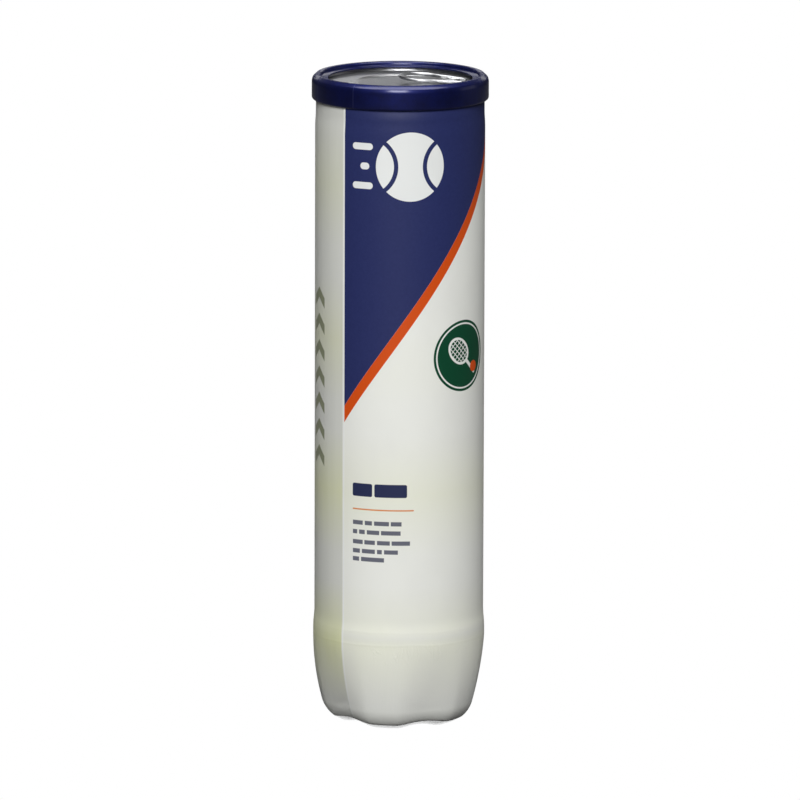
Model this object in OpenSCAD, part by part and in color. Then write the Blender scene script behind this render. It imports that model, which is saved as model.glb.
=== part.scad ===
// Pressurised can of four tennis balls: a blow-moulded clear can on five feet,
// a shrink label, a seamed metal end with a ring-pull, and a press-on overcap.
// The origin is on the can's axis, on the plane that the feet stand on. +Z is up,
// -Y is the front of the label, and the ring-pull's nose points near +X.

/* [Can] */
// Height over the overcap
total_h = 288; // [286:0.5:290]
// Outer radius of the straight wall
can_r = 37; // [36.8:0.1:37.2]
// Wall thickness of the can
can_wall = 0.65; // [0.5:0.05:0.7]
// Outer radius of the bulge above the feet
bulge_r = 37.6; // [37.3:0.1:37.7]
// Outer radius of the neck under the end
neck_r = 36.7; // [36.6:0.05:36.75]

/* [Base] */
// Number of feet
foot_count = 5; // [4:1:6]
// Turn of the first foot from the front, to the right
foot_turn = -13; // [-36:1:36]
// Radius where a foot's flat pad begins
pad_in_r = 18; // [17:0.5:19]
// Radius where a foot's flat pad ends and its heel begins
pad_out_r = 21.5; // [21:0.1:22]
// Radius of the rounded heel
heel_r = 12.8; // [12:0.1:13]
// Depth of the valleys between the feet
valley_depth = 2.1; // [1:0.1:2.6]
// Height of the dome in the middle of the base
dome_h = 4.4; // [3:0.1:4.6]
// Height where the feet fade into the wall
feet_top = 38; // [36:1:42]

/* [Label] */
// Thickness of the shrink film
film = 0.14; // [0.1:0.01:0.2]
// Height of the film's upper edge
film_top = 280.5; // [265:0.5:281]

/* [Balls] */
// Number of balls
ball_count = 4; // [4:1:4]
// Diameter over the felt
ball_d = 67.4; // [66:0.1:67.6]
// Thickness of the felt
felt_t = 3.4; // [2.5:0.1:4]
// Thickness of the rubber core's wall
core_wall = 3.3; // [2.8:0.1:3.8]
// Width of the rubber seam
seam_w = 2; // [1:0.1:3]

/* [Metal end] */
// Outer radius of the double seam
seam_r = 37.3; // [37.2:0.05:37.35]
// Radius of the tear-out panel
panel_r = 32.6; // [32:0.1:32.6]
// Radius of the panel's round bead
bead_r = 20.5; // [19:0.5:22]

/* [Ring-pull] */
// Turn of the ring-pull about the can's axis
tab_turn = -8; // [-20:1:20]
// Distance of the nose from the can's axis
nose_x = 28.2; // [27.6:0.1:28.4]
// Radius of the curled ring, to the middle of the curl
ring_r = 9.7; // [9.3:0.1:9.8]
// Tilt of the ring-pull above the panel
tab_tilt = 3.5; // [3:0.1:3.5]

/* [Overcap] */
// Outer radius of the overcap
cap_r = 38.75; // [38.75:0.05:39.5]
// Wall thickness of the overcap
cap_wall = 0.7; // [0.6:0.05:0.7]
// Height of the overcap's skirt
cap_h = 11; // [9:0.1:13]
// Radius of the opening in the overcap
cap_hole_r = 31.6; // [31:0.1:32]

/* [Hidden] */
$fn = 96;

// Clearance between pieces that stay together, and between pieces that move apart
fit_gap = 0.02;
move_gap = 0.3;
tiny = 0.01;
hair = 0.02;

// Base: steps round the can, and along each stretch of the outline
sides = 60;
foot_pitch = 360 / foot_count;
pad_half = 12;
heel_top = -13.5;
heel_steps = 6;
side_arc_r = 110;
side_steps = 6;
dome_steps = 4;
join_z = 44;
valley_start_r = 8;
valley_full_z = 10;

// Heights at the top of the can
rim_z = total_h;
shoulder_z = total_h - 23;
neck_z = total_h - 16;
seam_top_z = total_h - 1.1;
seam_low_z = total_h - 4.3;
flange_top_z = total_h - 2.05;
panel_z = total_h - 3.8;
sheet = 0.3;
seam_sheet = 0.35;
chuck_r = neck_r - can_wall - 0.1;
sink_z = total_h - 5;
ledge_r = panel_r + move_gap;
bead_h = 0.4;
recess_h = 0.35;

// Ring-pull
curl_r = 0.9;
nose_r = 0.7;
nose_z = panel_z + nose_r + 0.45;
plate_t = 0.9;
ring_x = -18.6;
rivet_x = nose_x - 5.05;
rivet_r = 1.3;
rivet_head_r = 2.3;
rivet_root_z = panel_z - sheet / 2;
tongue_r = 2.5;
tongue_z = panel_z + 0.45;
tongue_t = 0.35;
window_half = 3;
window_near = -2.2;
window_far = -7.9;
rail_near = 4.6;
rail_far = 8.2;

// Overcap
cap_flange_z = total_h - 2.3;
crown_out_r = 2.1;
crown_in_r = 1.3;
plug_r = chuck_r - seam_sheet - 1;
lip_r = 1.05;

// Balls
ball_r = ball_d / 2;
core_r = ball_r - felt_t;
ball_pitch = ball_d + move_gap;
ball_base_z = dome_h + can_wall + 0.55;
seam_half_deg = seam_w / 2 / ball_r * 180 / PI;
ball_turns = [[20, 35, 10], [65, -20, 80], [-40, 50, 150], [110, 15, 40]];

// ---- Outline of the base ----

// A point of the base is [radius, height, outward r, outward z, valley strength].
function ramp(value) = max(0, min(1, value));
function dome_point(k) =
    let (r = pad_in_r * k / dome_steps)
    [r, dome_h * (1 + cos(180 * r / pad_in_r)) / 2, 0, -1,
     0.75 * ramp((r - valley_start_r) / (pad_out_r - valley_start_r))];
function heel_point(k) =
    let (a = -90 + (90 + heel_top) * k / heel_steps)
    [pad_out_r + heel_r * cos(a), heel_r * (1 + sin(a)), cos(a), sin(a), 0.75 + 0.25 * k / heel_steps];
function side_point(k) =
    let (low_z = heel_r * (1 + sin(heel_top)))
    let (z = low_z + (feet_top - low_z) * k / side_steps)
    let (r = bulge_r - side_arc_r + sqrt(pow(side_arc_r, 2) - pow(feet_top - z, 2)))
    [r, z, 1, 0, ramp((feet_top - z) / (feet_top - valley_full_z))];

base_dome = [for (k = [1:dome_steps]) dome_point(k)];
base_heel = [for (k = [0:heel_steps]) heel_point(k)];
base_side = [for (k = [1:side_steps]) side_point(k)];
base_outline = concat(base_dome, base_heel, base_side, [[bulge_r, join_z - 3, 1, 0, 0]]);

// Angle from the nearest foot, and how far into a valley it lies
function foot_angle(a) = let (m = (a % foot_pitch + foot_pitch) % foot_pitch) min(m, foot_pitch - m);
function valley(a) =
    pow(sin(90 * ramp((foot_angle(a) - pad_half) / (foot_pitch / 2 - pad_half))), 1.3);

// A ring of points round the can, for one point of the outline moved outward by off
function ring_points(p, off) = [
    for (i = [0:sides - 1])
    let (a = 360 * i / sides, move = off - valley_depth * p[4] * valley(a))
    let (r = p[0] + p[2] * move, turn = a + foot_turn)
    [r * sin(turn), -r * cos(turn), p[1] + p[3] * move]
];

// Faces between rings listed one after another
function ring_faces(rings) = [
    for (j = [0:rings - 2], i = [0:sides - 1])
    let (n = (i + 1) % sides, a = j * sides, b = (j + 1) * sides)
    each [[a + i, b + i, b + n], [a + i, b + n, a + n]]
];
function flatten(lists) = [for (l = lists) each l];
function reversed(list) = [for (i = [len(list) - 1:-1:0]) list[i]];

// ---- Can ----

// The lobed base, a closed shell that is open at the top
module base_shell() {
    outer = [for (p = base_outline) ring_points(p, 0)];
    top_outer = [ring_points([bulge_r, join_z, 1, 0, 0], 0)];
    top_inner = [ring_points([can_r, join_z, 1, 0, 0], -can_wall - 0.15)];
    inner = [for (p = reversed(base_outline)) ring_points(p, -can_wall)];
    rings = concat(outer, top_outer, top_inner, inner);
    count = len(rings);
    poles = [[0, 0, dome_h], [0, 0, dome_h + can_wall]];
    first = count * sides;
    last = (count - 1) * sides;
    caps = [
        for (i = [0:sides - 1])
        let (n = (i + 1) % sides)
        each [[first, i, n], [first + 1, last + n, last + i]]
    ];
    polyhedron(points = concat(flatten(rings), poles), faces = concat(ring_faces(count), caps));
}

module can_body() {
    inner_r = can_r - can_wall;
    inner_neck_r = neck_r - can_wall;
    color([0.9, 0.94, 0.9, 0.4]) union() {
        base_shell();
        rotate_extrude() polygon([
            [inner_r, join_z], [can_r, join_z], [can_r, shoulder_z], [neck_r, neck_z],
            [neck_r, flange_top_z], [inner_neck_r, flange_top_z], [inner_neck_r, neck_z],
            [inner_r, shoulder_z]
        ]);
    }
}

// The printed film, shrunk over the wall and the heels of the feet
module label_sleeve() {
    slack = 0.08;
    film_heel = [for (k = [3:heel_steps]) heel_point(k)];
    above = [
        [bulge_r, join_z, 1, 0, 0], [can_r + slack, join_z + 6, 1, 0, 0],
        [can_r + slack, shoulder_z, 1, 0, 0], [neck_r + slack, neck_z, 1, 0, 0],
        [neck_r + slack, film_top, 1, 0, 0]
    ];
    outline = concat(film_heel, base_side, above);
    outer = [for (p = outline) ring_points(p, fit_gap + film)];
    inner = [for (p = reversed(outline)) ring_points(p, fit_gap)];
    rings = concat(outer, inner, [outer[0]]);
    total = len(rings) - 1;
    wrapped = [for (f = ring_faces(total + 1)) [for (v = f) v % (total * sides)]];
    color([0.93, 0.93, 0.9])
    polyhedron(points = flatten(concat(outer, inner)), faces = wrapped);
}

// ---- Metal end ----

// The seamed ring that stays on the can when the panel is torn out
module end_ring() {
    wall_r = chuck_r - seam_sheet;
    foot_r = wall_r - 0.9;
    color("silver") rotate_extrude() polygon([
        [seam_r - seam_sheet, seam_low_z], [seam_r, seam_low_z + 0.2], [seam_r, seam_top_z - 0.5],
        [seam_r - 0.15, seam_top_z - 0.15], [seam_r - 0.5, seam_top_z],
        [wall_r + 0.4, seam_top_z], [wall_r + 0.1, seam_top_z - 0.15], [wall_r, seam_top_z - 0.4],
        [foot_r, sink_z + seam_sheet], [ledge_r + 1.1, sink_z + seam_sheet],
        [ledge_r + 0.8, panel_z], [ledge_r, panel_z], [ledge_r, panel_z - sheet],
        [ledge_r + 0.6, panel_z - sheet], [ledge_r + 0.9, sink_z], [foot_r + 0.25, sink_z],
        [chuck_r, seam_top_z - 0.45], [seam_r - seam_sheet, seam_top_z - 0.45]
    ]);
}

// Sealing compound between the can's rim and the end
module seam_compound() {
    color("dimgray") rotate_extrude()
    translate([neck_r - can_wall + fit_gap, flange_top_z + fit_gap])
    square([can_wall + 0.15, seam_top_z - 0.45 - flange_top_z - 2 * fit_gap]);
}

// The tear-out panel, with its round bead, its sunk middle and the rivet formed from it
module peel_panel() {
    crest = panel_z + bead_h;
    low = panel_z - recess_h;
    color("lightgray") union() {
        rotate_extrude() polygon([
            [0, low], [bead_r - 2, low], [bead_r - 0.8, crest], [bead_r + 0.8, crest],
            [bead_r + 2, panel_z], [panel_r, panel_z], [panel_r, panel_z - sheet],
            [bead_r + 1.9, panel_z - sheet], [bead_r + 0.7, crest - sheet],
            [bead_r - 0.7, crest - sheet], [bead_r - 1.9, low - sheet], [0, low - sheet]
        ]);
        rotate([0, 0, tab_turn]) translate([rivet_x, 0, 0]) {
            translate([0, 0, rivet_root_z])
            cylinder(r = rivet_r, h = tongue_z + tongue_t + fit_gap - rivet_root_z + tiny);
            translate([0, 0, tongue_z + tongue_t + fit_gap]) cylinder(r = rivet_head_r, h = 0.4);
        }
    }
}

// The tongue of the ring-pull, held under the rivet's head
module tab_tongue() {
    color("silver") rotate([0, 0, tab_turn]) translate([rivet_x, 0, tongue_z]) difference() {
        linear_extrude(tongue_t) union() {
            circle(r = tongue_r);
            translate([0, -1.8]) square([tongue_r, 3.6]);
        }
        translate([0, 0, -1]) cylinder(r = rivet_r + fit_gap, h = 4);
    }
}

// The lever of the ring-pull: nose, two rails beside the tongue, and the curled ring
module pull_tab() {
    color("silver")
    rotate([0, 0, tab_turn]) translate([nose_x, 0, nose_z]) rotate([0, tab_tilt, 0]) union() {
        rotate([90, 0, 0]) translate([0, 0, -rail_near]) cylinder(r = nose_r, h = 2 * rail_near);
        difference() {
            translate([0, 0, -plate_t / 2]) linear_extrude(plate_t) difference() {
                polygon([
                    [0, -rail_near], [0, rail_near], [ring_x + 6, rail_far], [ring_x + 6, -rail_far]
                ]);
                translate([window_far, -window_half]) square([window_near - window_far, 2 * window_half]);
            }
            translate([ring_x, 0, -2]) cylinder(r = ring_r - curl_r / 2, h = 4);
        }
        translate([ring_x, 0, 0]) rotate_extrude() translate([ring_r, 0]) circle(r = curl_r, $fn = 32);
    }
}

// ---- Overcap ----

// A quarter of a round bend: outer radius, direction of its corner, place of its centre
module bend(outer, flip, at) {
    translate(at) mirror([flip[0], 0]) mirror([0, flip[1]]) intersection() {
        difference() {
            circle(r = outer);
            circle(r = outer - cap_wall);
        }
        square(outer + 1);
    }
}

module overcap() {
    lip_z = total_h - cap_h + lip_r;
    crown_z = rim_z - crown_out_r;
    inner_z = rim_z - crown_in_r;
    color([0.11, 0.12, 0.35]) rotate_extrude() union() {
        translate([cap_r - cap_wall, lip_z]) square([cap_wall, crown_z - lip_z]);
        bend(lip_r, [0, 1], [cap_r - lip_r, lip_z]);
        bend(crown_out_r, [0, 0], [cap_r - crown_out_r, crown_z]);
        translate([plug_r + crown_in_r, rim_z - cap_wall])
        square([cap_r - crown_out_r - plug_r - crown_in_r, cap_wall]);
        bend(crown_in_r, [1, 0], [plug_r + crown_in_r, inner_z]);
        translate([plug_r, cap_flange_z]) square([cap_wall, inner_z - cap_flange_z]);
        translate([cap_hole_r, cap_flange_z]) square([plug_r - cap_hole_r + tiny, cap_wall - 0.05]);
    }
}

// ---- Balls ----

// Both cones about +Z and -Z that open by half an angle, with a round hub in the middle
module double_cone(half) {
    reach = ball_r + 4;
    cylinder(h = reach, r1 = 0, r2 = reach * tan(half));
    mirror([0, 0, 1]) cylinder(h = reach, r1 = 0, r2 = reach * tan(half));
    sphere(r = ball_r / 3);
}

// Half space on the +X side
module half_space() {
    side = 3 * ball_r;
    translate([0, -side / 2, -side / 2]) cube(side);
}

module shell(outer, inner) {
    difference() {
        sphere(r = outer);
        sphere(r = inner);
    }
}

// One of the two equal panels, waisted across +X, with its round ends on +Y and -Y.
// The ends' surfaces lie a hair inside the waist's.
module felt_shape(outer, inner, half) {
    difference() {
        intersection() {
            shell(outer, inner);
            half_space();
        }
        double_cone(45 + half);
    }
    intersection() {
        shell(outer - hair, inner + hair);
        mirror([1, 0, 0]) half_space();
        rotate([90, 0, 0]) double_cone(45 - half);
    }
}

module place_ball(n) {
    translate([0, 0, ball_base_z + ball_r + (n - 1) * ball_pitch]) rotate(ball_turns[n - 1]) children();
}

module ball_core_half(n, upper) {
    color([0.25, 0.25, 0.24]) place_ball(n) intersection() {
        shell(core_r, core_r - core_wall);
        rotate([0, upper ? -90 : 90, 0]) half_space();
    }
}

module ball_felt(n, side) {
    color([0.82, 0.9, 0.25]) place_ball(n)
    rotate(a = side == "b" ? 180 : 0, v = [0, 1, 1])
    felt_shape(ball_r, core_r + fit_gap, seam_half_deg);
}

// One stretch of the seam: the band between two cones, on the side that is kept
module seam_band(outer, inner, half, turn) {
    difference() {
        intersection() {
            shell(outer, inner);
            mirror([turn ? 1 : 0, 0, 0]) half_space();
            rotate([turn ? 90 : 0, 0, 0]) double_cone(45 + half);
        }
        rotate([turn ? 90 : 0, 0, 0]) double_cone(45 - half);
    }
}

module ball_seam(n) {
    half = seam_half_deg - 0.04;
    inner = core_r + fit_gap;
    color([0.85, 0.86, 0.8]) place_ball(n) {
        seam_band(ball_r - 0.5, inner, half, false);
        seam_band(ball_r - 0.5 - hair, inner + hair, half - 0.05, true);
    }
}

// ---- Nodes ----

can_body();
label_sleeve();
end_ring();
seam_compound();
peel_panel();
tab_tongue();
pull_tab();
overcap();
for (n = [1:ball_count]) {
    ball_core_half(n, true);
    ball_core_half(n, false);
    ball_seam(n);
    ball_felt(n, "a");
    ball_felt(n, "b");
}
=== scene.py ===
"""Looks of a tall four-ball tennis can with a printed film, a ring-pull metal end and a ring overcap.

Lengths in the code are millimetres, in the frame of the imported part, until mesh_piece() scales them.
Azimuths are degrees from the front, which is -Y, and grow towards +X.
"""

import math

import bmesh
import bpy
import numpy as np
from mathutils import Matrix, Vector


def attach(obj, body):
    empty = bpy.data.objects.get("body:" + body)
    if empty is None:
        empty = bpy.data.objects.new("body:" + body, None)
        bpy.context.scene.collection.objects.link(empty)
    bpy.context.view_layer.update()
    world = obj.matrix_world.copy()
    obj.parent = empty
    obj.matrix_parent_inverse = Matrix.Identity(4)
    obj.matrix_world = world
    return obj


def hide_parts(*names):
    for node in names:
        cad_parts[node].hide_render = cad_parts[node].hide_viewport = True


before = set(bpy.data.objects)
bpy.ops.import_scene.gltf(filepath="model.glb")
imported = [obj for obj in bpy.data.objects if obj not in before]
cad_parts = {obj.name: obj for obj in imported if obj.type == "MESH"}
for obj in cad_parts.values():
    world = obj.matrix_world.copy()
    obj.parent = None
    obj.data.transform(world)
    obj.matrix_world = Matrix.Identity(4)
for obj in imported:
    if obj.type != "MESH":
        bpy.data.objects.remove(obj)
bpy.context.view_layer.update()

MM = 0.001

# ---------------------------------------------------------------- dimensions
TOTAL_H = 288.0
CAN_R, CAN_WALL, BULGE_R, NECK_R = 37.0, 0.65, 37.6, 36.7
PAD_IN, PAD_OUT, HEEL_R, DOME_H = 18.0, 21.5, 12.8, 4.4
FEET, FOOT_TURN, VALLEY, FEET_TOP = 5, -13.0, 2.1, 38.0
PAD_HALF, HEEL_TOP, SIDE_ARC = 12.0, -13.5, 110.0
VALLEY_START, VALLEY_FULL_Z, PAD_SHARE = 8.0, 10.0, 0.75
BLEND_LOW, BLEND_HIGH = 42.0, 50.0
SHOULDER_Z, NECK_Z, FLANGE_Z = TOTAL_H - 23, TOTAL_H - 16, TOTAL_H - 2.05
FILM, FILM_GAP, FILM_SLACK, FILM_TOP = 0.14, 0.02, 0.08, TOTAL_H - 7.5
FILM_LOW_ANGLE = -51.75
BALL_PITCH, BALL_1_Z = 67.7, 39.3       # between two balls, and the middle of the lowest

# the clear strip of the film, and its printed graphics
STRIP_FROM, STRIP_TO = -125.0, -41.0
ARC = math.radians(1) * CAN_R          # millimetres round the can for one degree


# ---------------------------------------------------------------- mesh helpers
NEARLY_STRAIGHT = math.radians(88.5)    # half angle of a corner that is left as it is
MOST_OF_SIDE = 0.48                     # how much of a side one rounded corner may take
ON_AXIS = 1e-6


def mesh_piece(name, verts, faces, materials, body, replaces, face_mats=None):
    """A mesh object in millimetres becomes a piece that rides on a body."""
    mesh = bpy.data.meshes.new(name)
    mesh.from_pydata([tuple(MM * c for c in v) for v in verts], [], faces)
    for material in materials:
        mesh.materials.append(material)
    if face_mats is not None:
        mesh.polygons.foreach_set("material_index", face_mats)
    mesh.polygons.foreach_set("use_smooth", [True] * len(mesh.polygons))
    obj = bpy.data.objects.new(name, mesh)
    bpy.context.collection.objects.link(obj)
    bm = bmesh.new()
    bm.from_mesh(mesh)
    bmesh.ops.remove_doubles(bm, verts=bm.verts, dist=1e-7)
    bmesh.ops.recalc_face_normals(bm, faces=bm.faces)
    bm.to_mesh(mesh)
    bm.free()
    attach(obj, body)
    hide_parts(*replaces)


def rounded(points, radius, steps=5):
    """A closed outline with its corners rounded. radius is one number or one for each point."""
    count = len(points)
    radii = radius if isinstance(radius, (list, tuple)) else [radius] * count
    out = []
    for i, point in enumerate(points):
        here = np.array(point, float)
        if radii[i] <= 0:
            out.append(tuple(here))
            continue
        a = np.array(points[i - 1], float) - here
        b = np.array(points[(i + 1) % count], float) - here
        la, lb = np.linalg.norm(a), np.linalg.norm(b)
        a, b = a / la, b / lb
        half = math.acos(max(-1, min(1, float(a @ b)))) / 2
        if half > NEARLY_STRAIGHT:
            out.append(tuple(here))
            continue
        reach = min(radii[i] / math.tan(half), MOST_OF_SIDE * la, MOST_OF_SIDE * lb)
        r = reach * math.tan(half)
        centre = here + (a + b) / np.linalg.norm(a + b) * r / math.sin(half)
        start, end = here + a * reach - centre, here + b * reach - centre
        a0 = math.atan2(start[1], start[0])
        turn = (math.atan2(end[1], end[0]) - a0 + math.pi) % (2 * math.pi) - math.pi
        for k in range(steps + 1):
            t = a0 + turn * k / steps
            out.append((centre[0] + r * math.cos(t), centre[1] + r * math.sin(t)))
    return out


def lathe(profile, segments):
    """A closed outline of (radius, height) turned round the Z axis."""
    verts, faces = [], []
    count = len(profile)
    for k in range(segments):
        a = 2 * math.pi * k / segments
        for r, z in profile:
            verts.append((r * math.sin(a), -r * math.cos(a), z))
    for k in range(segments):
        here, there = k * count, (k + 1) % segments * count
        for i in range(count):
            j = (i + 1) % count
            corners = (here + i, there + i, there + j, here + j)
            if profile[i][0] < ON_AXIS and profile[j][0] < ON_AXIS:
                continue
            if profile[i][0] < ON_AXIS:
                corners = (here + i, there + j, here + j)
            elif profile[j][0] < ON_AXIS:
                corners = (here + i, there + i, here + j)
            faces.append(corners)
    return verts, faces


def joined(*parts):
    """Several (verts, faces) as one."""
    verts, faces = [], []
    for v, f in parts:
        base = len(verts)
        verts += list(v)
        faces += [tuple(base + i for i in face) for face in f]
    return verts, faces


def moved(part, matrix):
    verts, faces = part
    return [tuple(matrix @ Vector(v)) for v in verts], faces


def tube(path, radius, sides=12):
    """A round wire along a closed path of points, for bends that stay near level."""
    verts, faces = [], []
    count = len(path)
    for i in range(count):
        here = Vector(path[i])
        along = (Vector(path[(i + 1) % count]) - Vector(path[i - 1])).normalized()
        up = Vector((0, 0, 1))
        side = along.cross(up).normalized()
        up = side.cross(along)
        for k in range(sides):
            t = 2 * math.pi * k / sides
            verts.append(tuple(here + side * radius * math.cos(t) + up * radius * math.sin(t)))
    for i in range(count):
        a, b = i * sides, (i + 1) % count * sides
        for k in range(sides):
            n = (k + 1) % sides
            faces.append((a + k, b + k, b + n, a + n))
    return verts, faces


def plate(outer, holes, thickness, bevel):
    """A flat plate with holes and softened edges, from 2D outlines."""
    curve = bpy.data.curves.new("plate", "CURVE")
    curve.dimensions = "2D"
    curve.fill_mode = "BOTH"
    curve.extrude = thickness / 2 - bevel
    curve.bevel_depth = bevel
    curve.bevel_resolution = 2
    curve.offset = -bevel
    for outline in [outer] + holes:
        spline = curve.splines.new("POLY")
        spline.points.add(len(outline) - 1)
        for point, (x, y) in zip(spline.points, outline):
            point.co = (x, y, 0, 1)
        spline.use_cyclic_u = True
    obj = bpy.data.objects.new("plate", curve)
    bpy.context.collection.objects.link(obj)
    bpy.context.view_layer.update()
    mesh = bpy.data.meshes.new_from_object(obj.evaluated_get(bpy.context.evaluated_depsgraph_get()))
    part = [tuple(v.co) for v in mesh.vertices], [tuple(p.vertices) for p in mesh.polygons]
    bpy.data.objects.remove(obj)
    bpy.data.curves.remove(curve)
    bpy.data.meshes.remove(mesh)
    return part


# ---------------------------------------------------------------- node helpers
def srgb(r, g, b):
    """A display colour of 0-255 as the linear colour that shaders take."""
    def channel(value):
        value /= 255
        return value / 12.92 if value <= 0.04045 else ((value + 0.055) / 1.055) ** 2.4
    return channel(r), channel(g), channel(b), 1.0


class Field:
    """A number that varies over a surface: an output socket that takes + - * / and more."""

    def __init__(self, tree, socket):
        self.tree, self.socket = tree, socket

    def make(self, operation, *inputs, clamp=False):
        node = self.tree.nodes.new("ShaderNodeMath")
        node.operation, node.use_clamp = operation, clamp
        for slot, value in zip(node.inputs, inputs):
            if isinstance(value, Field):
                self.tree.links.new(value.socket, slot)
            else:
                slot.default_value = value
        return Field(self.tree, node.outputs[0])

    def __add__(self, other): return self.make("ADD", self, other)
    def __radd__(self, other): return self.make("ADD", other, self)
    def __sub__(self, other): return self.make("SUBTRACT", self, other)
    def __rsub__(self, other): return self.make("SUBTRACT", other, self)
    def __mul__(self, other): return self.make("MULTIPLY", self, other)
    def __rmul__(self, other): return self.make("MULTIPLY", other, self)
    def __truediv__(self, other): return self.make("DIVIDE", self, other)
    def __neg__(self): return self.make("MULTIPLY", self, -1)
    def __abs__(self): return self.make("ABSOLUTE", self)
    def over(self, other): return self.make("MAXIMUM", self, other)
    def under(self, other): return self.make("MINIMUM", self, other)
    def power(self, other): return self.make("POWER", self, other)
    def wrap(self, period): return self.make("WRAP", self, period, 0)
    def clip(self): return self.make("ADD", self, 0, clamp=True)
    def inside(self, soft=0.06): return self.make("MULTIPLY_ADD", self, -1 / soft, 0.5, clamp=True)


def hypot(a, b):
    return (a * a + b * b).power(0.5)


def disc(s, z, cs, cz, radius):
    return hypot(s - cs, z - cz) - radius


def bar(s, z, cs, cz, half_s, half_z, corner):
    """Distance to a rounded box."""
    qs, qz = abs(s - cs) - (half_s - corner), abs(z - cz) - (half_z - corner)
    return hypot(qs.over(0), qz.over(0)) + qs.over(qz).under(0) - corner


class Material:
    """A node material with one Principled shader and the usual surface fields."""

    def __init__(self, name):
        self.data = bpy.data.materials.new(name)
        self.data.use_nodes = True
        self.tree = self.data.node_tree
        self.shader = self.tree.nodes["Principled BSDF"]
        coords = self.tree.nodes.new("ShaderNodeTexCoord")
        self.place = coords.outputs["Object"]
        split = self.tree.nodes.new("ShaderNodeSeparateXYZ")
        self.tree.links.new(self.place, split.inputs[0])
        self.x, self.y, self.z = (Field(self.tree, s) * 1000 for s in split.outputs)

    def set(self, **values):
        for name, value in values.items():
            socket = self.shader.inputs[name.replace("_", " ")]
            if isinstance(value, Field):
                self.tree.links.new(value.socket, socket)
            else:
                socket.default_value = value
        return self

    def link(self, a, b):
        self.tree.links.new(a, b)

    def around(self):
        """Millimetres round the can from the front, and the distance from its axis."""
        angle = self.x.make("ARCTAN2", self.x, -self.y)
        return angle * CAN_R, hypot(self.x, self.y)

    def noise(self, scale, detail=2.0, rough=0.5, stretch=None, distortion=0.0, vector=None):
        """Noise of about 0 to 1. scale is in waves per metre; stretch squeezes it along the axes."""
        node = self.tree.nodes.new("ShaderNodeTexNoise")
        node.inputs["Scale"].default_value = scale
        node.inputs["Detail"].default_value = detail
        node.inputs["Roughness"].default_value = rough
        node.inputs["Distortion"].default_value = distortion
        source = vector or self.place
        if stretch:
            mapping = self.tree.nodes.new("ShaderNodeMapping")
            mapping.inputs["Scale"].default_value = stretch
            self.link(source, mapping.inputs["Vector"])
            source = mapping.outputs[0]
        self.link(source, node.inputs["Vector"])
        return Field(self.tree, node.outputs[0])

    def vector(self, a, b, c=0.0):
        node = self.tree.nodes.new("ShaderNodeCombineXYZ")
        for slot, value in zip(node.inputs, (a, b, c)):
            if isinstance(value, Field):
                self.link(value.socket, slot)
            else:
                slot.default_value = value
        return node.outputs[0]

    def mix(self, factor, a, b):
        """A colour that goes from a to b. Each is a colour or a colour socket."""
        node = self.tree.nodes.new("ShaderNodeMix")
        node.data_type = "RGBA"
        sockets = [s for s in node.inputs if s.type == "RGBA"]
        self.link(factor.socket, node.inputs[0])
        for slot, value in zip(sockets, (a, b)):
            if isinstance(value, bpy.types.NodeSocket):
                self.link(value, slot)
            else:
                slot.default_value = value
        return next(s for s in node.outputs if s.type == "RGBA")

    def colour(self, socket):
        self.link(socket, self.shader.inputs["Base Color"])
        return self

    def bump(self, height, strength=0.5, distance=0.0001):
        """Raises the surface by height (0 to 1) times distance, in metres."""
        node = self.tree.nodes.new("ShaderNodeBump")
        node.inputs["Strength"].default_value = strength
        node.inputs["Distance"].default_value = distance
        self.link(height.socket, node.inputs["Height"])
        self.link(node.outputs[0], self.shader.inputs["Normal"])
        return self

    def steps(self, value, low, high, stops):
        """1 inside the listed (from, to) stretches of value, and 0 elsewhere."""
        ramp = self.tree.nodes.new("ShaderNodeValToRGB")
        ramp.color_ramp.interpolation = "CONSTANT"
        elements = ramp.color_ramp.elements
        while len(elements) > 1:
            elements.remove(elements[-1])
        elements[0].position, elements[0].color = 0, (0, 0, 0, 1)
        for start, end in stops:
            for at, level in ((start, 1), (end, 0)):
                element = elements.new((at - low) / (high - low))
                element.color = (level, level, level, 1)
        self.link(((value - low) / (high - low)).clip().socket, ramp.inputs[0])
        return Field(self.tree, ramp.outputs[0])


# ---------------------------------------------------------------- materials
WHITE = srgb(234, 235, 230)
ORANGE = srgb(206, 76, 14)
GREEN = srgb(4, 66, 42)
INK = srgb(38, 44, 78)
TAN = srgb(214, 140, 84)
DIAGONAL_Z, DIAGONAL_SLOPE = 137.3, 1.415     # lower edge of the stripe at the clear strip, and its rise
STRIPE_W = 4.15
FIELD_END = 110 * ARC                         # the dark field goes no further round than this
PICTURE = (-1.4, 252.4)                       # round the can and up
ROUNDEL = (31.0, 167.2, 15.75)                # round the can, up, and radius
TEXT_LEFT = -33 * ARC
BACK_LEFT = 118 * ARC
BACK_ROWS = (26, 22, 27, 19, 25, 14)          # lengths of the bars on the back
SMALL_BALL, SMALL_BALL_Z = 3.9, 154
CHEVRON_LOW, CHEVRON_HIGH, CHEVRON_STEP = 116.0, 198.0, 11.7
CHEVRON_S = -70.5 * ARC
EIGHTH = math.sqrt(0.5)                       # sine and cosine of 45 degrees


def text_rows():
    """Rows of word-like bars: height of the middle, half height, and the words' stretches."""
    rows = []
    for z, words in (
        (94.3, (5.0, 3.4, 6.6, 4.6)), (90.2, (2.2, 2.9, 5.6, 8.6)), (85.7, (4.9, 4.9, 5.6, 8.0)),
        (81.7, (3.6, 6.2, 2.2, 6.0)), (78.1, (3.2, 10.6)),
    ):
        at, spans = TEXT_LEFT, []
        for word in words:
            spans.append((at, at + word))
            at += word + 0.9
        rows.append((z, 0.95, spans))
    return rows


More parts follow.
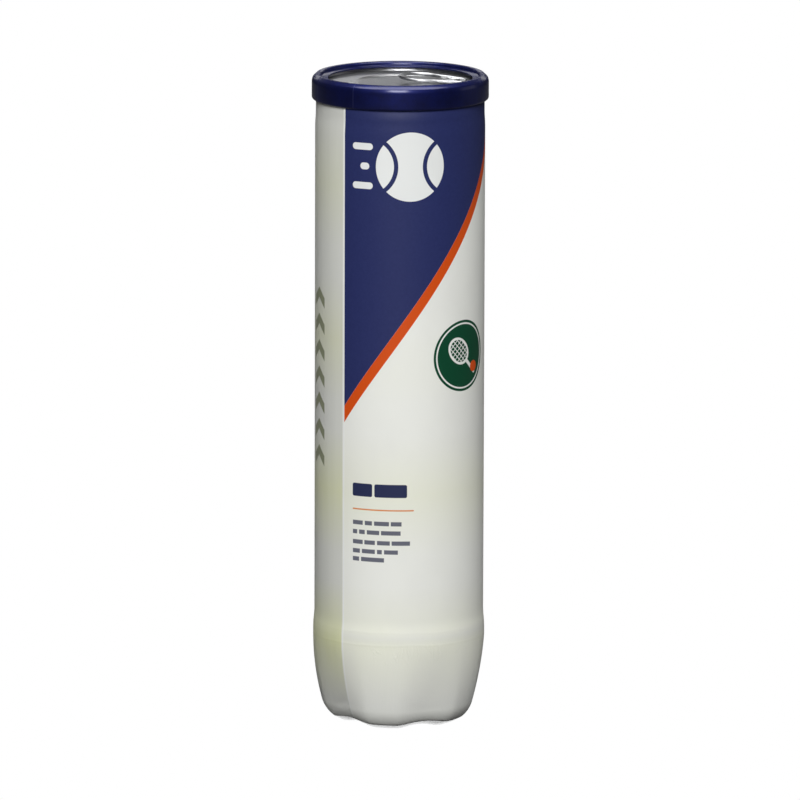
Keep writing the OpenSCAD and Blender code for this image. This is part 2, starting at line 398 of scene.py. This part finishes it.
def ball_glow(m):
    """How near the height is to the middle of a ball: 1 at its widest, 0 between two balls."""
    away = abs((m.z - (BALL_1_Z - BALL_PITCH / 2)).wrap(BALL_PITCH) - BALL_PITCH / 2)
    return (1 - away / 27).clip()


def low_crinkles(m):
    """Shrink marks of the film: two soft ridges round the top of the feet and small puckers below them."""
    drift = m.noise(40, 3, 0.6) * 2.4
    ridge = (1 - abs(m.z - 44.2 - drift) / 0.9).clip() * 0.6 + (1 - abs(m.z - 38.6 - drift) / 0.8).clip() * 0.9
    puckers = (m.noise(190, 4, 0.7, (1, 1, 0.5), 1.2) - 0.52).over(0) * 5
    return ridge * 0.16 + puckers * (1 - abs(m.z - 35.5) / 6).clip() * 0.5


def film_print():
    """White film with a dark field, a stripe along its diagonal edge, pictograms and bars for text."""
    m = Material("film_print")
    s, _ = m.around()
    z = m.z
    glow = ball_glow(m) * (1 - (z - 120) / 60).clip()
    cloud = m.noise(28, 3, 0.6, (1, 1, 0.6))
    base = m.mix((glow * 0.35 + cloud * 0.12).clip(), WHITE, srgb(224, 226, 190))
    base = m.mix(((cloud - 0.45) * 1.2).clip(), base, srgb(222, 222, 220))
    # a greyer band round the film where it crinkles above the feet: painted shade of the crinkles
    base = m.mix((1 - abs(z - 42 - cloud * 2) / 3.6).clip() * 0.3, base, srgb(214, 215, 216))
    # the dark field above the diagonal, and the stripe along it
    rise = (z - DIAGONAL_Z - (s - STRIP_TO * ARC) * DIAGONAL_SLOPE) / math.hypot(1, DIAGONAL_SLOPE)
    edge = STRIP_TO * ARC
    front = (edge - s).over(s - FIELD_END)
    field = (STRIPE_W - rise).over(front).inside(0.1)
    stripe = abs(rise - STRIPE_W / 2) - STRIPE_W / 2
    ink = m.noise(900, 2, 0.5)
    navy = m.mix(ink, srgb(33, 40, 86), srgb(40, 48, 97))
    colour = m.mix(field, base, navy)
    colour = m.mix(stripe.over(front).inside(0.1), colour, ORANGE)
    # a flying ball in white
    ps, pz = PICTURE
    mark = disc(s, z, ps + 6, pz, 15.2)
    for away in (-19.5, 19.5):
        mark = mark.over(0.95 - abs(disc(s, z, ps + 6 + away, pz, 13.2)))
    for dz, start, end in ((-8.6, -20.2, -10.6), (0, -16.4, -12.2), (8.6, -20.2, -10.6)):
        mark = mark.under(bar(s, z, ps + (start + end) / 2, pz + dz, (end - start) / 2, 1.5, 1.45))
    colour = m.mix(mark.inside(0.1), colour, srgb(228, 230, 228))
    # a round green mark with a racket and a ball
    cs, cz, radius = ROUNDEL
    outer = disc(s, z, cs, cz, radius)
    colour = m.mix(outer.inside(0.1), colour, GREEN)
    rim = abs(disc(s, z, cs, cz, radius - 1.5)) - 0.35
    turned_s = (s - cs) * EIGHTH + (z - cz) * EIGHTH
    turned_z = (z - cz) * EIGHTH - (s - cs) * EIGHTH
    head = hypot(turned_s / 0.78, turned_z - 3.2)
    frame_line = abs(head - 6.2) - 0.62
    shaft = bar(turned_s, turned_z, 0, -7.6, 0.75, 4.3, 0.6)
    strings = abs(turned_s.wrap(1.7) - 0.85).under(abs((turned_z - 3.2).wrap(1.7) - 0.85)) - 0.17
    strings = strings.over(head - 6.0)
    white_mark = rim.under(frame_line).under(shaft).under(strings)
    colour = m.mix(white_mark.inside(0.1), colour, srgb(230, 231, 226))
    colour = m.mix(disc(s, z, cs + 7.6, cz - 5.6, 2.5).inside(0.1), colour, ORANGE)
    # title bars, thin line and rows of word-like bars
    title = bar(s, z, TEXT_LEFT + 4.7, 108.9, 4.7, 2.9, 0.8)
    title = title.under(bar(s, z, TEXT_LEFT + 17.6, 108.9, 7.2, 2.9, 0.8))
    colour = m.mix(title.inside(0.1), colour, INK)
    line = bar(s, z, TEXT_LEFT + 13.9, 100.3, 13.9, 0.32, 0.3)
    colour = m.mix(line.inside(0.1), colour, TAN)
    words = None
    for row_z, half, spans in text_rows():
        row = m.steps(s, TEXT_LEFT - 10, TEXT_LEFT + 40, spans) * (abs(z - row_z) - half).inside(0.1)
        words = row if words is None else words + row
    colour = m.mix(words * 0.86, colour, INK)
    # the back: a block of word-like bars over four small balls, and the glued seam of the film
    for row, length in enumerate(BACK_ROWS):
        mark = bar(s, z, BACK_LEFT + length / 2, 196 - 4.6 * row, length / 2, 0.95, 0.6)
        colour = m.mix(mark.inside(0.1) * 0.86, colour, INK)
    for k in range(4):
        middle = BACK_LEFT + SMALL_BALL + 10.5 * k
        small = disc(s, z, middle, SMALL_BALL_Z, SMALL_BALL)
        for away in (-5, 5):
            small = small.over(0.28 - abs(disc(s, z, middle + away, SMALL_BALL_Z, 3.3)))
        colour = m.mix(small.inside(0.1), colour, srgb(38, 46, 92))
    seam = abs(abs(s) - 177 * ARC) - 0.2
    colour = m.mix(seam.over(-s).inside(0.15) * 0.5, colour, srgb(196, 197, 192))
    # bright cut edge beside the clear strip
    colour = m.mix((abs(s - edge - 0.25) - 0.25).inside(0.1), colour, srgb(236, 238, 236))
    m.colour(colour)
    fine = m.noise(1400, 2, 0.5)
    wrinkles = m.noise(60, 4, 0.62, (1, 1, 0.35), 0.6)
    low = (1 - (z - 34) / 22).clip() * 0.8 + (1 - abs(z - SHOULDER_Z - 3) / 6).clip() * 0.5 + 0.1
    m.bump(fine * 0.05 + wrinkles * low + low_crinkles(m), 0.55, 0.0005)
    m.set(Roughness=(0.46 + m.noise(240, 3) * 0.14), Specular_IOR_Level=0.22)
    return m.data


def film_strip():
    """Clear frosted film that shows the balls behind it."""
    m = Material("film_strip")
    s, _ = m.around()
    z = m.z
    glow = ball_glow(m) * (0.35 + (1 - (z - 60) / 150).clip() * 0.65)
    cloud = m.noise(34, 3, 0.6, (1, 1, 0.4))
    streak = m.noise(420, 2, 0.5, (1, 1, 0.03))
    colour = m.mix((glow * 0.75 * (0.6 + cloud * 0.6)).clip(), srgb(232, 233, 226), srgb(230, 234, 160))
    colour = m.mix(streak * 0.25, colour, srgb(226, 227, 222))
    # a column of upright chevrons
    across = abs(s - CHEVRON_S)
    slant = (z - CHEVRON_LOW - 1.2 + across * 0.8).wrap(CHEVRON_STEP)
    column = abs(z - (CHEVRON_LOW + CHEVRON_HIGH) / 2) - (CHEVRON_HIGH - CHEVRON_LOW) / 2
    chevron = (abs(slant - 5.8) - 2.3).over(across - 5.6).over(column)
    mark = chevron.inside(0.12)
    colour = m.mix(mark, colour, srgb(134, 138, 112))
    edges = abs(s - STRIP_TO * ARC + 0.3).under(abs(s - STRIP_FROM * ARC - 0.3)) - 0.3
    edges = edges.inside(0.1)
    colour = m.mix(edges * 0.8, colour, srgb(232, 233, 226))
    m.colour(colour)
    alpha = 0.66 + cloud * 0.08 + streak * 0.06 + mark * 0.25 + edges * 0.2
    wrinkles = m.noise(60, 4, 0.62, (1, 1, 0.3), 0.6)
    low_part = (1 - (z - 34) / 22).clip() * 0.8 + 0.12
    m.bump(streak * 0.12 + wrinkles * low_part + low_crinkles(m), 0.55, 0.0005)
    m.set(Alpha=alpha.clip(), Roughness=(0.3 + m.noise(240, 3) * 0.14), Specular_IOR_Level=0.45)
    return m.data


def clear_pet():
    """Blown clear plastic with faint flow marks."""
    m = Material("clear_pet")
    flow = m.noise(120, 3, 0.5, (1, 1, 0.15))
    m.colour(m.mix(flow, srgb(226, 232, 228), srgb(246, 250, 248)))
    m.bump(flow + m.noise(500, 2) * 0.1, 0.4, 0.0003)
    m.set(Alpha=0.17, Roughness=(0.05 + m.noise(300, 2) * 0.08), Specular_IOR_Level=0.6)
    return m.data


def cap_plastic():
    """Pearl blue moulding: a broad blue sheen under a clear gloss, with mould lines, and pale specks that are
    partly dust and partly painted glints.
    """
    m = Material("cap_plastic")
    s, _ = m.around()
    mottle = m.noise(170, 4, 0.6)
    streak = m.noise(600, 3, 0.6, (1, 1, 0.12))
    colour = m.mix(mottle, srgb(6, 9, 48), srgb(9, 22, 92))
    # pale blue specks: partly dust, partly painted glints
    dust_and_glints = ((m.noise(2600, 2, 0.7) - 0.68) * 9).clip()
    colour = m.mix(dust_and_glints * 0.3, colour, srgb(96, 104, 160))
    parting = abs(s + 68 * ARC).under(abs(s + 32 * ARC)).under(abs(s - 112 * ARC)) - 0.16
    parting = parting.inside(0.2)
    colour = m.mix(parting * 0.35, colour, srgb(74, 78, 132))
    m.colour(colour)
    m.bump(mottle * 0.3 + streak * 0.2 + parting * 0.5, 0.4, 0.00014)
    m.set(Metallic=0.72, Roughness=(0.4 + mottle * 0.1 + streak * 0.06), Specular_IOR_Level=0.3)
    m.set(Coat_Weight=0.5, Coat_Roughness=0.18)
    return m.data


def end_metal():
    """Rolled sheet: fine rings round the axis, a granular pressed middle and small dents."""
    m = Material("end_metal")
    s, r = m.around()
    rings = m.noise(1, 4, 0.65, None, 0, m.vector(r * 2.6, s * 0.02))
    grain = m.noise(1500, 3, 0.6)
    middle = ((18.9 - r) / 0.8).clip()
    pits = m.tree.nodes.new("ShaderNodeTexVoronoi")
    pits.inputs["Scale"].default_value = 900
    m.link(m.place, pits.inputs["Vector"])
    pit = Field(m.tree, pits.outputs["Distance"]) * middle
    tone = m.mix(rings, srgb(164, 165, 168), srgb(206, 206, 206))
    tone = m.mix(middle * 0.55, tone, srgb(128, 130, 134))
    m.colour(tone)
    m.bump(rings * 0.4 + grain * 0.08 + pit * 1.2, 0.6, 0.0003)
    m.set(Metallic=1.0, Roughness=(0.26 + rings * 0.18 + middle * 0.06), Specular_IOR_Level=0.5)
    return m.data


def tab_metal():
    """Pressed strip with draw lines along it."""
    m = Material("tab_metal")
    draw = m.noise(500, 3, 0.6, (0.15, 1, 1))
    m.colour(m.mix(draw, srgb(158, 159, 162), srgb(196, 197, 198)))
    m.bump(draw * 0.5 + m.noise(1700, 2) * 0.15, 0.35, 0.00012)
    m.set(Metallic=1.0, Roughness=(0.22 + draw * 0.14))
    return m.data


def compound():
    """Lumpy dark sealing compound."""
    m = Material("compound")
    lumps = m.noise(900, 3, 0.6)
    m.colour(m.mix(lumps, srgb(52, 54, 58), srgb(88, 90, 94)))
    m.bump(lumps, 0.5, 0.0002)
    m.set(Roughness=(0.55 + lumps * 0.2))
    return m.data


def felt():
    """Optic-yellow felt: matted fibres, tufts and paler tips."""
    m = Material("felt")
    fibre = m.noise(2300, 5, 0.7, None, 1.6)
    tuft = m.noise(420, 4, 0.65, None, 0.9)
    patch = m.noise(70, 3, 0.5)
    colour = m.mix(tuft, srgb(178, 196, 34), srgb(222, 236, 74))
    colour = m.mix(((fibre - 0.5) * 3).clip() * 0.6, colour, srgb(240, 248, 132))
    colour = m.mix(((0.42 - fibre) * 4).clip() * 0.6, colour, srgb(128, 146, 22))
    colour = m.mix(patch * 0.2, colour, srgb(198, 214, 60))
    m.colour(colour)
    m.bump(fibre * 0.8 + tuft * 0.6, 0.9, 0.0011)
    m.set(Roughness=(0.86 + fibre * 0.12), Specular_IOR_Level=0.15, Sheen_Weight=0.55, Sheen_Roughness=0.5)
    m.shader.inputs["Sheen Tint"].default_value = srgb(236, 246, 130)
    return m.data


def rubber(name, dark, light, roughness):
    """Speckled matt rubber between two colours."""
    m = Material(name)
    speck = m.noise(1300, 3, 0.6)
    m.colour(m.mix(speck, dark, light))
    m.bump(speck + m.noise(300, 2) * 0.5, 0.5, 0.0002)
    m.set(Roughness=(roughness + speck * 0.2), Specular_IOR_Level=0.3)
    return m.data


FILM_PRINT, FILM_STRIP = film_print(), film_strip()
PET, CAP, METAL, TAB = clear_pet(), cap_plastic(), end_metal(), tab_metal()
COMPOUND, FELT = compound(), felt()
SEAM = rubber("seam_rubber", srgb(196, 200, 184), srgb(224, 227, 212), 0.5)
CORE = rubber("core_rubber", srgb(44, 44, 42), srgb(74, 74, 70), 0.6)


# ---------------------------------------------------------------- the can and its film
# A row of the wall is its radius and height, the way out from it (r, z), and how much of the valleys
# between the feet it takes, from 0 to 1.
def ramp(value):
    return max(0.0, min(1.0, value))


def smooth(value):
    value = ramp(value)
    return value * value * (3 - 2 * value)


def dome_row(r):
    z = DOME_H * (1 + math.cos(math.pi * r / PAD_IN)) / 2 if r < PAD_IN else 0.0
    return r, z, 0.0, -1.0, PAD_SHARE * ramp((r - VALLEY_START) / (PAD_OUT - VALLEY_START))


def heel_row(degrees):
    a = math.radians(degrees)
    share = PAD_SHARE + (1 - PAD_SHARE) * (degrees + 90) / (90 + HEEL_TOP)
    return PAD_OUT + HEEL_R * math.cos(a), HEEL_R * (1 + math.sin(a)), math.cos(a), math.sin(a), share


def side_row(z):
    r = BULGE_R - SIDE_ARC + math.sqrt(SIDE_ARC ** 2 - (FEET_TOP - z) ** 2)
    return r, z, 1.0, 0.0, ramp((FEET_TOP - z) / (FEET_TOP - VALLEY_FULL_Z))


def wall_row(z, slack=0.0):
    """The wall above the feet: bulge, straight tube, shoulder and neck, blended smoothly."""
    r = CAN_R + slack + (BULGE_R - CAN_R - slack) * (1 - smooth((z - BLEND_LOW) / (BLEND_HIGH - BLEND_LOW)))
    r -= (CAN_R - NECK_R) * smooth((z - SHOULDER_Z) / (NECK_Z - SHOULDER_Z))
    return r, z, 1.0, 0.0, 0.0


def foot_valley(azimuth):
    """0 on a foot, 1 in the middle of a valley."""
    pitch = 360 / FEET
    m = (azimuth - FOOT_TURN) % pitch
    away = min(m, pitch - m)
    return math.sin(math.radians(90 * ramp((away - PAD_HALF) / (pitch / 2 - PAD_HALF)))) ** 1.3


def wall_ring(row, off, azimuths):
    """The points of a row, moved out by off and in by the valleys."""
    r, z, out_r, out_z, strength = row
    ring = []
    for a in azimuths:
        move = off - VALLEY * strength * foot_valley(a)
        rr, t = r + out_r * move, math.radians(a)
        ring.append((rr * math.sin(t), -rr * math.cos(t), z + out_z * move))
    return ring


def strips(rings, wrap):
    """Faces between rings of equal length. wrap joins the last ring to the first."""
    width = len(rings[0])
    faces = []
    for j in range(len(rings) - (0 if wrap else 1)):
        a, b = j * width, (j + 1) % len(rings) * width
        for i in range(width):
            n = (i + 1) % width
            faces.append((a + i, a + n, b + n, b + i))
    return [v for ring in rings for v in ring], faces


LOW_SIDE_Z = HEEL_R * (1 + math.sin(math.radians(HEEL_TOP)))
SIDE_STEPS, HEEL_STEPS, DOME_STEPS = 14, 12, 9
SIDE_ROWS = [side_row(LOW_SIDE_Z + (FEET_TOP - LOW_SIDE_Z) * k / SIDE_STEPS) for k in range(1, SIDE_STEPS + 1)]
WALL_Z = [40, 42, 43.5, 45, 46.5, 48, 49.5, 51] + list(range(56, 262, 8))
WALL_Z += [SHOULDER_Z + k for k in (-1, 0.5, 2, 3.5, 5, 6.5, 7)]


def build_can():
    azimuths = [3 * k for k in range(120)]
    rows = [dome_row(PAD_IN * k / DOME_STEPS) for k in range(1, DOME_STEPS + 1)] + [dome_row(20.5)]
    rows += [heel_row(-90 + (90 + HEEL_TOP) * k / HEEL_STEPS) for k in range(HEEL_STEPS + 1)]
    rows += SIDE_ROWS + [wall_row(z) for z in WALL_Z] + [wall_row(z) for z in (NECK_Z + 6, FLANGE_Z)]
    outer = [wall_ring(row, 0, azimuths) for row in rows]
    inner = [wall_ring(row, -CAN_WALL, azimuths) for row in rows]
    shell_verts, shell_faces = strips(outer + inner[::-1], False)
    width, last = len(azimuths), (2 * len(rows) - 1) * len(azimuths)
    first_pole = len(shell_verts)
    shell_verts += [(0, 0, DOME_H), (0, 0, DOME_H + CAN_WALL)]
    for i in range(width):
        n = (i + 1) % width
        shell_faces += [(first_pole, n, i), (first_pole + 1, last + i, last + n)]
    mesh_piece("can_shell", shell_verts, shell_faces, [PET], "can", ["can_body"])


def build_film():
    azimuths = [2 * k - 179 for k in range(180)]
    rows = [heel_row(FILM_LOW_ANGLE + (HEEL_TOP - FILM_LOW_ANGLE) * k / 9) for k in range(10)] + SIDE_ROWS
    rows += [wall_row(z, FILM_SLACK) for z in WALL_Z + [FILM_TOP]]
    off = FILM_GAP + FILM
    outer = [wall_ring(row, off, azimuths) for row in rows]
    inner = [wall_ring(row, FILM_GAP, azimuths) for row in rows]
    verts, faces = strips(outer + inner[::-1], True)
    mats = []
    for face in faces:
        x, y = (sum(verts[i][c] for i in face) for c in (0, 1))
        mats.append(1 if STRIP_FROM < math.degrees(math.atan2(x, -y)) < STRIP_TO else 0)
    both = [FILM_PRINT, FILM_STRIP]
    mesh_piece("printed_film", verts, faces, both, "can", ["label_sleeve"], mats)


build_can()
build_film()


# ---------------------------------------------------------------- overcap
def arc(cx, cz, radius, start, end, steps=8):
    """Points on part of a circle, in degrees."""
    return [
        (cx + radius * math.cos(math.radians(start + (end - start) * k / steps)),
         cz + radius * math.sin(math.radians(start + (end - start) * k / steps)))
        for k in range(steps + 1)
    ]


def build_overcap():
    cap_r, wall, low = 38.75, 0.7, TOTAL_H - 11.0
    lip, inner_crown, plug = 1.05, 1.3, 34.6
    flange, hole = TOTAL_H - 2.3, 31.6
    outside = arc(plug + 1.9, TOTAL_H - 0.6, 0.6, 115, 70, 4)
    outside += arc(cap_r - 1.2, TOTAL_H - 2.07, 0.9, 46, 22, 5)
    outside += arc(cap_r - 5, TOTAL_H - 3.6, 5, 18, 0, 4) + [(cap_r, low + 3)]
    outside += arc(cap_r - lip, low + lip, lip, 0, -90)
    lip_end = arc(cap_r - lip, low + wall / 2, wall / 2, -90, -270, 6)
    inside = arc(cap_r - lip, low + lip, lip - wall, -90, 0, 5)
    inside += [(cap_r - wall, TOTAL_H - 2.8), (cap_r - 0.99, TOTAL_H - 1.93), (cap_r - 2.25, TOTAL_H - 0.74)]
    inside += arc(plug + inner_crown, TOTAL_H - inner_crown, inner_crown - wall, 90, 180, 6)
    inside += [(plug + wall, flange + 1.2), (plug + wall, flange + 0.25), (plug + wall - 0.25, flange)]
    flange_edge = arc(hole + 0.3, flange + 0.325, 0.325, 270, 90, 8)
    back = [(plug - 0.3, flange + 0.65), (plug, flange + 0.9)]
    back += arc(plug + inner_crown, TOTAL_H - inner_crown, inner_crown, 180, 100, 8)
    profile = outside + lip_end[1:] + inside[1:] + flange_edge + back
    verts, faces = lathe(profile, 180)
    mesh_piece("overcap_ring", verts, faces, [CAP], "overcap", ["overcap"])


build_overcap()


# ---------------------------------------------------------------- metal end
PANEL_Z, SINK_Z, SEAM_TOP, SEAM_LOW = TOTAL_H - 3.8, TOTAL_H - 5.0, TOTAL_H - 1.1, TOTAL_H - 4.3
SEAM_R, LEDGE_R, PANEL_R, BEAD_R = 37.3, 32.9, 32.6, 20.5
CHUCK_R = NECK_R - CAN_WALL - 0.1
CHUCK_IN = CHUCK_R - 0.35
TAB_TURN, NOSE_X, NOSE_R, TAB_TILT = -8.0, 28.2, 0.7, 3.5
NOSE_Z = PANEL_Z + NOSE_R + 0.45
RING_X, RING_R, CURL_R = -18.6, 9.7, 0.9
RIVET_X = NOSE_X - 5.05


def build_end_ring():
    foot = CHUCK_IN - 0.9
    outline = [
        (SEAM_R - 0.35, SEAM_LOW), (SEAM_R, SEAM_LOW + 0.2), (SEAM_R, SEAM_TOP), (CHUCK_IN, SEAM_TOP),
        (foot, SINK_Z + 0.35), (LEDGE_R + 1.1, SINK_Z + 0.35), (LEDGE_R + 0.8, PANEL_Z), (LEDGE_R, PANEL_Z),
        (LEDGE_R, PANEL_Z - 0.3), (LEDGE_R + 0.6, PANEL_Z - 0.3), (LEDGE_R + 0.9, SINK_Z),
        (foot + 0.25, SINK_Z), (CHUCK_R, SEAM_TOP - 0.45), (SEAM_R - 0.35, SEAM_TOP - 0.45),
    ]
    radii = [0.12, 0.2, 0.75, 0.75, 0.3, 0.3, 0.25, 0.1, 0.1, 0.2, 0.2, 0.2, 0.1, 0.1]
    verts, faces = lathe(rounded(outline, radii, 5), 180)
    mesh_piece("seamed_ring", verts, faces, [METAL], "can", ["end_ring"])


def tab_matrix():
    """From the lever's own frame, nose at the origin and ring towards -X, to the can's."""
    return (
        Matrix.Rotation(math.radians(TAB_TURN), 4, "Z")
        @ Matrix.Translation((NOSE_X, 0, NOSE_Z))
        @ Matrix.Rotation(math.radians(TAB_TILT), 4, "Y")
    )


def build_panel():
    crest, low = PANEL_Z + 0.4, PANEL_Z - 0.35
    outline = [
        (0, low), (BEAD_R - 2, low), (BEAD_R - 0.8, crest), (BEAD_R + 0.8, crest), (BEAD_R + 2, PANEL_Z),
        (PANEL_R - 1.9, PANEL_Z), (PANEL_R - 1.7, PANEL_Z - 0.06), (PANEL_R - 1.5, PANEL_Z),
        (PANEL_R, PANEL_Z), (PANEL_R, PANEL_Z - 0.3), (BEAD_R + 1.9, PANEL_Z - 0.3),
        (BEAD_R + 0.7, crest - 0.3), (BEAD_R - 0.7, crest - 0.3), (BEAD_R - 1.9, low - 0.3), (0, low - 0.3),
    ]
    radii = [0, 0.6, 0.7, 0.7, 0.6, 0.1, 0.1, 0.1, 0.12, 0.12, 0.4, 0.5, 0.5, 0.4, 0]
    panel = lathe(rounded(outline, radii, 5), 180)
    tongue_top = PANEL_Z + 0.45 + 0.35
    base = PANEL_Z - 0.2
    rivet = lathe(rounded([
        (0, base), (2.0, base), (1.3, PANEL_Z + 0.3), (1.3, tongue_top), (2.3, tongue_top + 0.02),
        (2.3, tongue_top + 0.36), (1.5, tongue_top + 0.42), (1.2, tongue_top + 0.18), (0, tongue_top + 0.16),
    ], [0, 0.05, 0.25, 0.05, 0.1, 0.15, 0.15, 0.2, 0], 4), 48)
    at = Matrix.Rotation(math.radians(TAB_TURN), 4, "Z") @ Matrix.Translation((RIVET_X, 0, 0))
    verts, faces = joined(panel, moved(rivet, at))
    mesh_piece("tear_out_panel", verts, faces, [METAL], "tear_panel", ["peel_panel"])


def build_tongue():
    z, t = PANEL_Z + 0.45, 0.35
    outer = [(2.5 * math.cos(a), 2.5 * math.sin(a)) for a in np.linspace(0.8, 2 * math.pi - 0.8, 28)]
    outer = rounded([(2.6, -1.8)] + [(2.6, 1.8)], 0, 1) + outer
    hole = [(1.36 * math.cos(a), 1.36 * math.sin(a)) for a in np.linspace(0, 2 * math.pi, 25)[:-1]]
    part = plate(outer, [hole], t, 0.08)
    at = Matrix.Rotation(math.radians(TAB_TURN), 4, "Z") @ Matrix.Translation((RIVET_X, 0, z + t / 2))
    verts, faces = moved(part, at)
    mesh_piece("rivet_tongue", verts, faces, [TAB], "tear_panel", ["tab_tongue"])


def build_tab():
    """The lever: a plate with a window, a curled edge all the way round and a curl round the finger hole."""
    near, far = 4.6, 8.2
    ring = (RING_X, 0.0)
    shoulder_x = RING_X + 5.2
    start = math.atan2(far - 0.25, shoulder_x - ring[0])
    sweep = np.linspace(start, 2 * math.pi - start, 52)
    loop = [(ring[0] + RING_R * math.cos(a), RING_R * math.sin(a)) for a in sweep]
    nose = rounded([(0, -near + 0.1), (0, near - 0.1)], 0, 1)
    side = [(-x, near + (far - near) * 0.92 * (x / 13.4) ** 0.9) for x in (1.2, 3, 5, 7, 9, 11)]
    path = nose + side + loop + [(x, -y) for x, y in reversed(side)]
    path = rounded(path, 0.8, 3)
    lift = NOSE_R - CURL_R
    rim = tube([(x, y, lift * ramp(1 + x / 8)) for x, y in path], 0.72, 14)
    turn = np.linspace(0, 2 * math.pi, 57)[:-1]
    hole = [(ring[0] + 8.55 * math.cos(a), 8.55 * math.sin(a)) for a in turn]
    finger = tube([(x, y, 0.1) for x, y in hole], 0.42, 10)
    window = rounded([(-2.2, -3), (-2.2, 3), (-7.9, 3), (-7.9, -3)], 0.7, 4)
    hem = rounded([(-8.15, -3.2), (-1.95, -3.2), (-1.95, 3.2), (-8.15, 3.2)], 0.8, 4)
    hem = tube([(x, y, 0.12) for x, y in hem], 0.24, 8)
    inner = [(ring[0] + 8.5 * math.cos(a), 8.5 * math.sin(a)) for a in turn]
    web = plate(path, [inner, window], 0.5, 0.08)
    verts, faces = moved(joined(rim, finger, hem, web), tab_matrix())
    mesh_piece("ring_lever", verts, faces, [TAB], "ring_pull", ["pull_tab"])


build_end_ring()
build_panel()
build_tongue()
build_tab()

# ---------------------------------------------------------------- carried-over CAD nodes
for name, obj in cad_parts.items():
    for key, material in (
        ("felt", FELT), ("core", CORE), ("_seam", SEAM), ("seam_compound", COMPOUND),
    ):
        if key in name:
            obj.data.materials.clear()
            obj.data.materials.append(material)

# ---------------------------------------------------------------- stage, light and camera
scene = bpy.context.scene
scene.view_settings.view_transform = "Standard"


def white_for_camera(tree, seen, unseen, shader):
    """Stage surfaces: bright to the camera, dimmer as a source of light, so that edges stay dark."""
    path = tree.nodes.new("ShaderNodeLightPath")
    mix = tree.nodes.new("ShaderNodeMixShader")
    tree.links.new(path.outputs["Is Camera Ray"], mix.inputs[0])
    tree.links.new(unseen, mix.inputs[1])
    tree.links.new(seen, mix.inputs[2])
    tree.links.new(mix.outputs[0], shader)


world = bpy.data.worlds.new("studio")
scene.world = world
world.use_nodes = True
tree = world.node_tree
bright, dim = tree.nodes["Background"], tree.nodes.new("ShaderNodeBackground")
bright.inputs["Color"].default_value = (1, 1, 1, 1)
dim.inputs["Color"].default_value = (0.07, 0.07, 0.075, 1)
white_for_camera(tree, bright.outputs[0], dim.outputs[0], tree.nodes["World Output"].inputs["Surface"])

FLOOR, FLOOR_Z = 30, -0.0002             # half its side, and just under the feet
floor_mesh = bpy.data.meshes.new("floor")
corners = [(FLOOR * x, FLOOR * y, FLOOR_Z) for x, y in ((-1, -1), (1, -1), (1, 1), (-1, 1))]
floor_mesh.from_pydata(corners, [], [(0, 1, 2, 3)])
floor = bpy.data.objects.new("floor", floor_mesh)
bpy.context.collection.objects.link(floor)
paper = bpy.data.materials.new("paper")
paper.use_nodes = True
tree = paper.node_tree
soft = tree.nodes["Principled BSDF"]
soft.inputs["Base Color"].default_value = (0.07, 0.07, 0.07, 1)
soft.inputs["Roughness"].default_value = 0.9
lit = tree.nodes.new("ShaderNodeEmission")
lit.inputs["Color"].default_value = (1, 1, 1, 1)
lit.inputs["Strength"].default_value = 1.0
white_for_camera(tree, lit.outputs[0], soft.outputs[0], tree.nodes["Material Output"].inputs["Surface"])
floor_mesh.materials.append(paper)


MID_CAN, CAN_TOP = (0, 0, 0.15), (0, 0, 0.28)


def softbox(name, azimuth, elevation, distance, wide, power, target=MID_CAN, tall=1.0, in_gloss=True):
    """A rectangular lamp that faces target. in_gloss False keeps it out of reflections."""
    light = bpy.data.lights.new(name, "AREA")
    light.energy, light.size = power, wide
    light.shape, light.size_y = "RECTANGLE", tall
    obj = bpy.data.objects.new(name, light)
    bpy.context.collection.objects.link(obj)
    a, e = math.radians(azimuth), math.radians(elevation)
    toward = Vector((math.sin(a) * math.cos(e), -math.cos(a) * math.cos(e), math.sin(e)))
    obj.location = Vector(target) + toward * distance
    obj.rotation_euler = toward.to_track_quat("Z", "Y").to_euler()
    obj.visible_glossy = in_gloss


softbox("front", -3, 30, 2.6, 1.0, 62)
softbox("overhead", 0, 88, 1.7, 2.0, 40, target=CAN_TOP, tall=0.9)
softbox("back_wide", 180, 17, 2.6, 2.2, 4, target=CAN_TOP, tall=0.35)
softbox("back_key", 180, 38, 2.6, 0.9, 42, tall=0.7, in_gloss=False)
softbox("right_fill", 100, 9, 2.4, 1.2, 1.6, tall=0.9)

SENSOR = 36
VIEW_TARGET = Vector((0.00028, 0, 0.1427))
VIEW_W, VIEW_DISTANCE, VIEW_TILT, VIEW_ROLL = 0.35185, 4.5, 10.5, 0.175    # metres, then degrees
camera_data = bpy.data.cameras.new("camera")
camera_data.sensor_width = SENSOR
camera_data.lens = SENSOR * VIEW_DISTANCE / VIEW_W
camera_data.clip_end = 100
camera = bpy.data.objects.new("camera", camera_data)
bpy.context.collection.objects.link(camera)
tilt = math.radians(VIEW_TILT)
toward = Vector((0, -math.cos(tilt), math.sin(tilt)))
camera.location = VIEW_TARGET + toward * VIEW_DISTANCE
look = toward.to_track_quat("Z", "Y").to_matrix().to_4x4()
camera.rotation_euler = (look @ Matrix.Rotation(math.radians(VIEW_ROLL), 4, "Z")).to_euler()
scene.camera = camera
